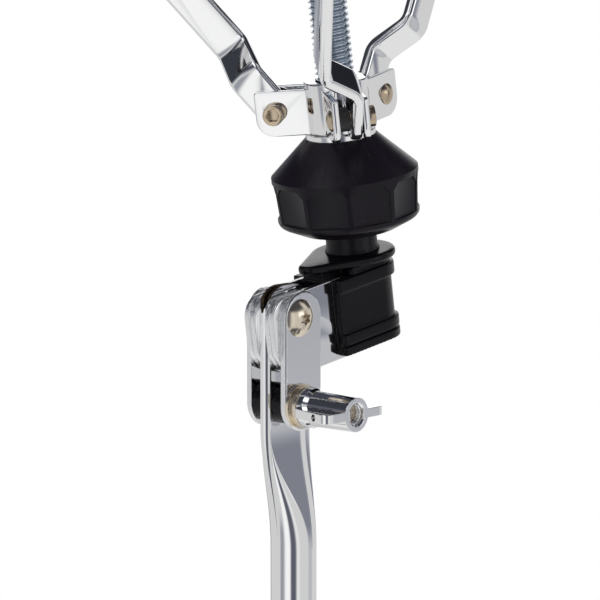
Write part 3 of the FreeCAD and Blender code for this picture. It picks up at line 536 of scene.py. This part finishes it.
def buildNut():
    upright = alongAxis(*jointLine("adjuster_turn"))
    piece = mergedCopy("adjusting_nut")
    bakePlace(piece, upright.inverted())
    reach, scale = nutShape["rimReach"], nutShape["rimScale"]
    low = min(v.co.z for v in piece.data.vertices if v.co.xy.length > reach)
    rim = low + nutShape["rimHeight"]
    outside = reach - nutShape["rimSlack"]
    selectVertices(piece, lambda co: co.xy.length > outside and co.z < rim)
    editMode(piece)
    bpy.ops.transform.resize(value=(scale, scale, 1), center_override=(0, 0, 0))
    objectMode()
    end = low + nutShape["endBand"]
    ends = [v.co.z < end and v.co.xy.length > reach * scale for v in piece.data.vertices]
    selectNone(piece)
    for edge in piece.data.edges:
        edge.select = all(ends[i] for i in edge.vertices)
    editMode(piece, "EDGE")
    bpy.ops.mesh.bevel(offset=nutShape["rimRound"], segments=nutShape["rimSteps"],
                       affect="EDGES")
    objectMode()
    bakePlace(piece, upright)
    roundEvery(piece, nutShape["edge"], True)
    return settleCopy(piece, "adjusting_nut", ".moulded")


# soft mouldings, every rib and corner run together: the boot, and the rubber feet and grips
bootShape = {"cell": 0.00034, "softness": 0.5, "passes": 9, "kept": 0.2, "smoothAngle": 60.0}
rubberShape = {"cell": 0.0009, "softness": 0.5, "passes": 20, "kept": 0.25, "smoothAngle": 60.0}


def buildSoft(node, shape):
    piece = mergedCopy(node)
    cells = piece.modifiers.new("cells", "REMESH")
    cells.mode = "VOXEL"
    cells.voxel_size = shape["cell"]
    soft = piece.modifiers.new("soft", "SMOOTH")
    soft.factor = shape["softness"]
    soft.iterations = shape["passes"]
    fewer = piece.modifiers.new("fewer", "DECIMATE")
    fewer.ratio = shape["kept"]
    applyModifiers(piece)
    smoothShade(piece, shape["smoothAngle"])
    return settleCopy(piece, node, ".moulded")


buildNut()
buildSoft("tilt_boot", bootShape)
for number in threefold:
    buildSoft("foot_" + number, rubberShape)
    buildSoft("grip_" + number, rubberShape)
print("nut, boot, feet and grips moulded")


# mast: a round tube whose top is pressed flat in one flowing curve
mastShape = {"radius": 0.009525, "wall": 0.0015, "thickness": 0.005, "halfFlat": 0.01103,
             "back": 0.0051, "bendLow": -0.098, "bendHigh": -0.046, "ringSlack": 0.0005,
             "topRound": 0.011, "topSpare": 0.004, "arcPoints": 16, "flatCuts": 23,
             "blendCuts": 44, "boltDrop": 0.0362, "bolt": 0.004, "drillSides": 40,
             "drillLength": 0.05, "trimTurns": (6, 16, 26, 36, 46, 56, 66, 76, 86, 90),
             "smoothAngle": 40.0}


def extrudeBy(rise):
    bpy.ops.mesh.extrude_region_move(TRANSFORM_OT_translate={"value": (0, 0, rise)})


def buildMast():
    m = mastShape
    low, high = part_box("mast_tube")
    pivot = Vector(joints["tilt"]["pos_m"])
    bendLow, bendHigh = pivot.z + m["bendLow"], pivot.z + m["bendHigh"]
    half = m["thickness"] / 2
    step = math.pi / m["arcPoints"]
    deselectAll()
    bpy.ops.mesh.primitive_circle_add(vertices=m["arcPoints"], radius=half / math.cos(step),
                                      location=(0, -m["back"], bendHigh), rotation=(0, 0, step))
    obj = newPiece()
    for side in bothSides:
        selectVertices(obj, lambda co: side * (co.y + m["back"]) > 0)
        editMode(obj)
        bpy.ops.transform.translate(value=(0, side * m["halfFlat"], 0))
        objectMode()
    for edge in obj.data.edges:
        first, last = (obj.data.vertices[i].co for i in edge.vertices)
        edge.select = (first - last).length > m["halfFlat"]
    editMode(obj, "EDGE")
    bpy.ops.mesh.subdivide(number_cuts=m["flatCuts"])
    bpy.ops.mesh.select_all(action="SELECT")
    extrudeBy(high.z - bendHigh + m["topSpare"])
    bpy.ops.mesh.select_all(action="DESELECT")
    count = m["arcPoints"] + 2 * m["flatCuts"]
    bpy.ops.mesh.primitive_circle_add(vertices=count, radius=m["radius"],
                                      location=(0, 0, bendLow))
    extrudeBy(low.z - bendLow)
    objectMode()
    lowest, highest = bendLow - m["ringSlack"], bendHigh + m["ringSlack"]
    selectVertices(obj, lambda co: lowest < co.z < highest)
    editMode(obj)
    bpy.ops.mesh.select_mode(type="EDGE")
    bpy.ops.mesh.bridge_edge_loops(number_cuts=m["blendCuts"], interpolation="SURFACE",
                                   smoothness=1.0)
    # the flat's upper corners are trimmed round
    corner = m["halfFlat"] + half - m["topRound"]
    for turn in m["trimTurns"]:
        across, rise = math.cos(math.radians(turn)), math.sin(math.radians(turn))
        for side in bothSides:
            lean = Vector((0, side * across, rise))
            middle = Vector((0, side * corner - m["back"], high.z - m["topRound"]))
            bpy.ops.mesh.select_all(action="SELECT")
            bpy.ops.mesh.bisect(plane_co=middle + lean * m["topRound"], plane_no=lean,
                                clear_outer=True)
    bpy.ops.mesh.select_all(action="SELECT")
    bpy.ops.mesh.normals_make_consistent(inside=False)
    objectMode()
    # the tube's inside and its cut end take a dark brown metal far darker than steel: painted
    # shade in the bore, which also darkens the cut end
    for coat in (polishedChrome, boreShade):
        obj.data.materials.append(coat)
    skin = obj.modifiers.new("wall", "SOLIDIFY")
    skin.thickness = m["wall"]
    skin.offset = -1.0
    skin.material_offset = 1
    skin.material_offset_rim = 1
    applyModifiers(obj)
    for drop in (0, m["boltDrop"]):
        bpy.ops.mesh.primitive_cylinder_add(vertices=m["drillSides"], radius=m["bolt"],
                                            depth=m["drillLength"],
                                            location=(0, pivot.y, pivot.z - drop),
                                            rotation=(0, quarterTurn, 0))
        cutAway(obj, newPiece())
    smoothShade(obj, m["smoothAngle"])
    return settle(obj, "mastTube", "mast", polishedChrome, ("mast_tube",))


buildMast()
print("mast pressed")


# pivot bolt: low dome with a six-pointed recess
domeShape = {"radius": 0.0079, "height": 0.0036, "segments": 72, "stem": 0.004, "stemSides": 48,
             "stemEdge": 0.0005, "stemSteps": 2, "stemSlack": 0.001, "star": 0.0031,
             "starPoints": 6, "starWaist": 0.62, "depth": 0.0019, "smoothAngle": 30.0}


def buildPivotBolt():
    d = domeShape
    low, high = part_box("pivot_bolt")
    height, waist = d["height"], d["starWaist"]
    ball = (d["radius"] ** 2 + height ** 2) / (2 * height)
    deselectAll()
    bpy.ops.mesh.primitive_uv_sphere_add(segments=d["segments"], ring_count=d["segments"],
                                         radius=ball, location=(0, 0, height - ball))
    obj = newPiece()
    editAll(obj)
    bpy.ops.mesh.bisect(plane_co=(0, 0, 0), plane_no=upward, clear_inner=True, use_fill=True)
    objectMode()
    bpy.ops.mesh.primitive_cylinder_add(vertices=2 * d["starPoints"], radius=d["star"],
                                        depth=2 * d["depth"], location=(0, 0, height))
    star = newPiece()
    # every second corner is drawn in to the star's waist
    selectVertices(star, lambda co: math.cos(d["starPoints"] * math.atan2(co.y, co.x)) < 0)
    editMode(star)
    bpy.ops.transform.resize(value=(waist, waist, 1), center_override=(0, 0, height))
    objectMode()
    cutAway(obj, star)
    stemLength = high.x - height - low.x
    bpy.ops.mesh.primitive_cylinder_add(vertices=d["stemSides"], radius=d["stem"],
                                        depth=stemLength, location=(0, 0, -stemLength / 2))
    stem = newPiece()
    selectVertices(stem, lambda co: co.z < -d["stemSlack"])
    editMode(stem)
    bpy.ops.mesh.select_mode(type="FACE")
    bpy.ops.mesh.bevel(offset=d["stemEdge"], segments=d["stemSteps"], affect="EDGES")
    objectMode()
    joinInto(obj, stem)
    place = Vector((high.x - height, (low.y + high.y) / 2, (low.z + high.z) / 2))
    bakePlace(obj, alongAxis(place, forward))
    smoothShade(obj, d["smoothAngle"])
    return settle(obj, "pivotBolt", "mast", nickel, ("pivot_bolt",))


buildPivotBolt()
print("pivot bolt headed")


# threaded rod: round-bottomed coarse thread, with the plain shank in the bracket's bend
rodShape = {"pitch": 0.0025, "crestRadius": 0.008, "rootCentre": 0.0079, "rootRadius": 0.00105,
            "arcPoints": 14, "steps": 56, "shankRadius": 0.0054, "shankLength": 0.036,
            "shankSides": 48, "shankEdge": 0.0006, "shankSteps": 2, "smoothAngle": 40.0}
threadMerge = 0.000005


def screwForm(obj, pitch, turns, steps):
    screw = obj.modifiers.new("thread", "SCREW")
    screw.axis = "Z"
    screw.angle = wholeTurn
    screw.screw_offset = pitch
    screw.iterations = turns
    screw.steps = steps
    screw.render_steps = steps
    screw.use_merge_vertices = True
    screw.merge_threshold = threadMerge
    applyModifiers(obj)


def closeEnds():
    bpy.ops.mesh.fill_holes(sides=0)
    bpy.ops.mesh.normals_make_consistent(inside=False)
    objectMode()


def buildRod():
    rod = rodShape
    origin, axis = jointLine("adjuster_turn")
    low, high = spanOf("threaded_rod", origin, axis)
    low += rod["shankLength"]
    turns = int((high - low) / rod["pitch"]) - 1
    deselectAll()
    bpy.ops.mesh.primitive_circle_add(vertices=2 * rod["arcPoints"], radius=rod["rootRadius"],
                                      location=(rod["rootCentre"], 0, 0),
                                      rotation=(quarterTurn, 0, 0))
    obj = newPiece()
    editAll(obj)
    bpy.ops.mesh.bisect(plane_co=(rod["crestRadius"], 0, 0), plane_no=forward, clear_outer=True)
    objectMode()
    # the groove's two lips are drawn out to half a crest each
    for side in bothSides:
        selectNone(obj)
        lip = max(obj.data.vertices, key=lambda v: side * v.co.z + v.co.x)
        lip.select = True
        reach = side * (rod["pitch"] / 2 - abs(lip.co.z))
        editMode(obj)
        extrudeBy(reach)
        objectMode()
    screwForm(obj, rod["pitch"], turns, rod["steps"])
    editAll(obj)
    bpy.ops.mesh.remove_doubles(threshold=threadMerge)
    closeEnds()
    bakePlace(obj, alongAxis(origin + axis * (low + rod["pitch"]), axis))
    bpy.ops.mesh.primitive_cylinder_add(vertices=rod["shankSides"], radius=rod["shankRadius"],
                                        depth=rod["shankLength"])
    shank = bpy.context.active_object
    bakePlace(shank, alongAxis(origin + axis * (low - rod["shankLength"] / 2), axis))
    editAll(shank)
    bpy.ops.mesh.bevel(offset=rod["shankEdge"], segments=rod["shankSteps"], affect="EDGES")
    objectMode()
    joinInto(obj, shank)
    smoothShade(obj, rod["smoothAngle"])
    return settle(obj, "threadedRod", "head", blueZinc, ("threaded_rod",))


buildRod()
print("rod threaded")


# thread inside the wing nut's open end
wingThread = {"pitch": 0.00125, "ridge": 0.00052, "ridgeSides": 6, "turns": 4, "steps": 40,
              "smoothAngle": 50.0}


def buildWingThread():
    thread = wingThread
    origin, axis = jointLine("tilt_nut_turn")
    high = spanOf("tilt_wing_nut", origin, axis)[1]
    spots = [v.co - origin for v in nodes["tilt_wing_nut"].data.vertices]
    bore = min((spot - axis * spot.dot(axis)).length for spot in spots)
    start = high - (thread["turns"] + 1) * thread["pitch"]
    deselectAll()
    bpy.ops.mesh.primitive_circle_add(vertices=thread["ridgeSides"], radius=thread["ridge"],
                                      location=(bore, 0, 0), rotation=(quarterTurn, 0, 0))
    obj = newPiece()
    screwForm(obj, thread["pitch"], thread["turns"], thread["steps"])
    editAll(obj)
    closeEnds()
    bakePlace(obj, alongAxis(origin + axis * start, axis))
    smoothShade(obj, thread["smoothAngle"])
    return settle(obj, "wingNutThread", "tilt_nut", chrome)


buildWingThread()
print("wing nut threaded")


# floor, light and camera
stage = {"floorRadius": 0.85, "floorSides": 128, "floorFade": 0.45,
         "floorTint": (0.86, 0.86, 0.865, 1.0)}
lamps = {
    "keyLamp": {"place": (-0.9, -1.3, 1.5), "aim": (0, 0, 0.4), "size": 1.0, "power": 16.0},
    "rimLamp": {"place": (1.5, 0.5, 1.1), "aim": (0, 0, 0.42), "size": 0.9, "power": 9.0},
    "topLamp": {"place": (0.1, 0.3, 2.0), "aim": (0, 0, 0.3), "size": 1.4, "power": 12.0},
}


def buildFloor():
    deselectAll()
    bpy.ops.mesh.primitive_circle_add(vertices=stage["floorSides"], radius=stage["floorRadius"],
                                      fill_type="NGON", location=(0, 0, 0))
    floor = bpy.context.active_object
    floor.name = "studioFloor"
    mat, tree, out = freshTree("paleFloor")
    matt = addNode(tree, "ShaderNodeBsdfDiffuse", Color=stage["floorTint"])
    white = tree.nodes.new("ShaderNodeEmission")
    coords = tree.nodes.new("ShaderNodeTexCoord")
    reach = vectorNode(tree, "LENGTH", coords.outputs["Object"], result="Value")
    fade = rangeNode(tree, reach, {"From Min": stage["floorFade"],
                                   "From Max": stage["floorRadius"]}, "SMOOTHSTEP")
    ground = mixShaders(tree, fade, matt.outputs["BSDF"], white.outputs["Emission"])
    # mirrored rays pass on to the room, so the plating shows the room's pale ground
    rays = tree.nodes.new("ShaderNodeLightPath")
    clear = tree.nodes.new("ShaderNodeBsdfTransparent")
    through = mixShaders(tree, rays.outputs["Is Glossy Ray"], ground, clear.outputs["BSDF"])
    tree.links.new(through, out.inputs["Surface"])
    floor.data.materials.append(mat)


# what the plating mirrors: a pale room with a dark ceiling and standing cards. A card is
# azimuth, half width, softness, lowest and highest level, brightness. Later cards stand in front
room = {"fill": 0.62, "mirror": 0.66, "seen": 1.0, "cards": [
    ("ceiling", 0.0, 200.0, 5.0, 0.42, 2.0, 0.07),
    ("floor", 0.0, 200.0, 5.0, -2.0, -0.66, 0.80),
    ("boxBack", 133.0, 16.0, 6.0, 0.02, 0.40, 1.50),
    ("flagLeft", 190.0, 42.0, 10.0, 0.18, 2.0, 0.05),
    ("flagBack", 152.0, 9.0, 5.0, -0.40, 0.30, 0.34),
    ("flagRight", 46.0, 8.0, 5.0, -0.65, 0.30, 0.25),
    ("panelRight", 46.0, 8.0, 5.0, -0.65, -0.13, 0.53),
    ("flagFar", 90.0, 16.0, 5.0, 0.20, 0.85, 0.02),
    ("skyRight", 57.0, 12.0, 5.0, 0.34, 0.72, 0.70),
    ("boxRight", 20.0, 13.0, 4.0, 0.06, 0.34, 1.60),
    ("boxTop", -100.0, 26.0, 6.0, 0.62, 0.88, 1.50),
    ("cameraGap", -47.0, 12.0, 7.0, -0.75, 0.60, 0.13),
    ("flagHub", -106.0, 9.0, 5.0, -0.45, 0.30, 0.36),
    ("stripNear", -22.0, 6.0, 4.0, -0.60, 0.40, 0.80),
    ("stripLeft", -76.0, 11.0, 6.0, -0.85, 0.30, 0.97)]}
shadeTint = {"dark": (0.80, 0.86, 1.12, 1.0), "light": (1.0, 1.0, 1.0, 1.0), "reach": 1.6}
cardEdge = 0.09
# outer and inner cosine of a card that runs all the way round
allRound = (-1.2, -1.1)
halfRound = 180.0


def buildCard():
    group, gin, gout = newGroup(
        "card", {"Level": 1.0, "East": 1.0, "North": 0.0, "Outer": 0.0, "Inner": 1.0,
                 "Low": 0.0, "High": 1.0, "Shade": 1.0}, ("Level",))
    ray = group.nodes.new("ShaderNodeTexCoord").outputs["Generated"]
    level = vectorNode(group, "NORMALIZE", vectorNode(group, "MULTIPLY", ray, (1, 1, 0)))
    side = group.nodes.new("ShaderNodeCombineXYZ")
    group.links.new(gin.outputs["East"], side.inputs["X"])
    group.links.new(gin.outputs["North"], side.inputs["Y"])
    # cosine of the level angle between the ray and the card's middle
    facing = vectorNode(group, "DOT_PRODUCT", level, side.outputs["Vector"], result="Value")
    parts = group.nodes.new("ShaderNodeSeparateXYZ")
    group.links.new(ray, parts.inputs["Vector"])
    rise = parts.outputs["Z"]
    low, high = gin.outputs["Low"], gin.outputs["High"]
    spans = ((facing, gin.outputs["Outer"], gin.outputs["Inner"]),
             (rise, mathNode(group, "SUBTRACT", low, cardEdge),
              mathNode(group, "ADD", low, cardEdge)),
             (rise, mathNode(group, "ADD", high, cardEdge),
              mathNode(group, "SUBTRACT", high, cardEdge)))
    across, above, below = (
        rangeNode(group, value, {"From Min": start, "From Max": end}, "SMOOTHSTEP")
        for value, start, end in spans)
    mask = mathNode(group, "MULTIPLY", mathNode(group, "MULTIPLY", across, above), below)
    shown = mixNode(group, "FLOAT", mask, gin.outputs["Level"], gin.outputs["Shade"])
    group.links.new(shown, gout.inputs["Level"])
    return group


def buildRoom():
    world = bpy.data.worlds.new("whiteRoom")
    bpy.context.scene.world = world
    world.use_nodes = True
    tree = world.node_tree
    tree.nodes.clear()
    out = tree.nodes.new("ShaderNodeOutputWorld")
    sky = tree.nodes.new("ShaderNodeBackground")
    tree.links.new(sky.outputs["Background"], out.inputs["Surface"])
    rays = tree.nodes.new("ShaderNodeLightPath")
    glossy = rays.outputs["Is Glossy Ray"]
    seen = mathNode(tree, "MAXIMUM", rays.outputs["Is Camera Ray"],
                    rays.outputs["Is Transmission Ray"])
    card = buildCard()
    level = room["mirror"]
    for label, azimuth, width, soft, low, high, shade in room["cards"]:
        turn = math.radians(azimuth)
        outer, inner = allRound
        if width + soft < halfRound:
            outer, inner = (math.cos(math.radians(width + s * soft)) for s in bothSides)
        node = useGroup(tree, card, East=math.cos(turn), North=math.sin(turn), Outer=outer,
                        Inner=inner, Low=low, High=high, Shade=shade)
        node.label = label
        feed(tree, level, node.inputs["Level"])
        level = node.outputs["Level"]
    # the darker cards are a little blue
    plain = mathNode(tree, "MAXIMUM", mathNode(tree, "SUBTRACT", 1.0, glossy),
                     mathNode(tree, "MULTIPLY", level, shadeTint["reach"]))
    tint = mixNode(tree, "RGBA", plain, shadeTint["dark"], shadeTint["light"])
    tree.links.new(tint, sky.inputs["Color"])
    mirrored = mixNode(tree, "FLOAT", glossy, room["fill"], level)
    tree.links.new(mixNode(tree, "FLOAT", seen, mirrored, room["seen"]), sky.inputs["Strength"])


def aimAt(obj, place, way):
    bpy.context.scene.collection.objects.link(obj)
    obj.location = place
    obj.rotation_euler = way.to_track_quat("-Z", "Y").to_euler()


def buildLamps():
    for name, lamp in lamps.items():
        light = bpy.data.lights.new(name, "AREA")
        light.size = lamp["size"]
        light.energy = lamp["power"]
        obj = bpy.data.objects.new(name, light)
        place = Vector(lamp["place"])
        aimAt(obj, place, Vector(lamp["aim"]) - place)
        obj.visible_glossy = False


# the photograph's view: the pivot bolt's head is where the photograph has it
view = {"azimuth": 43.0, "elevation": 8.5, "distance": 1.5, "pixelSize": 0.000406,
        "frame": 600, "headPixel": (306.5, 319.0)}


def buildCamera():
    a, e = math.radians(view["azimuth"]), math.radians(view["elevation"])
    back = Vector((math.sin(a) * math.cos(e), -math.cos(a) * math.cos(e), math.sin(e)))
    right = Vector((math.cos(a), math.sin(a), 0))
    up = back.cross(right)
    low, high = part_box("pivot_bolt")
    head = Vector((high.x, (low.y + high.y) / 2, (low.z + high.z) / 2))
    middle = view["frame"] / 2
    across = (middle - view["headPixel"][0]) * view["pixelSize"]
    rise = (view["headPixel"][1] - middle) * view["pixelSize"]
    aim = head + right * across + up * rise
    camera = bpy.data.cameras.new("photoView")
    camera.angle = 2 * math.atan(middle * view["pixelSize"] / view["distance"])
    obj = bpy.data.objects.new("photoView", camera)
    aimAt(obj, aim + back * view["distance"], -back)
    bpy.context.scene.camera = obj


buildFloor()
buildRoom()
buildLamps()
buildCamera()
bpy.context.scene.view_settings.view_transform = "Standard"
print("stage set")
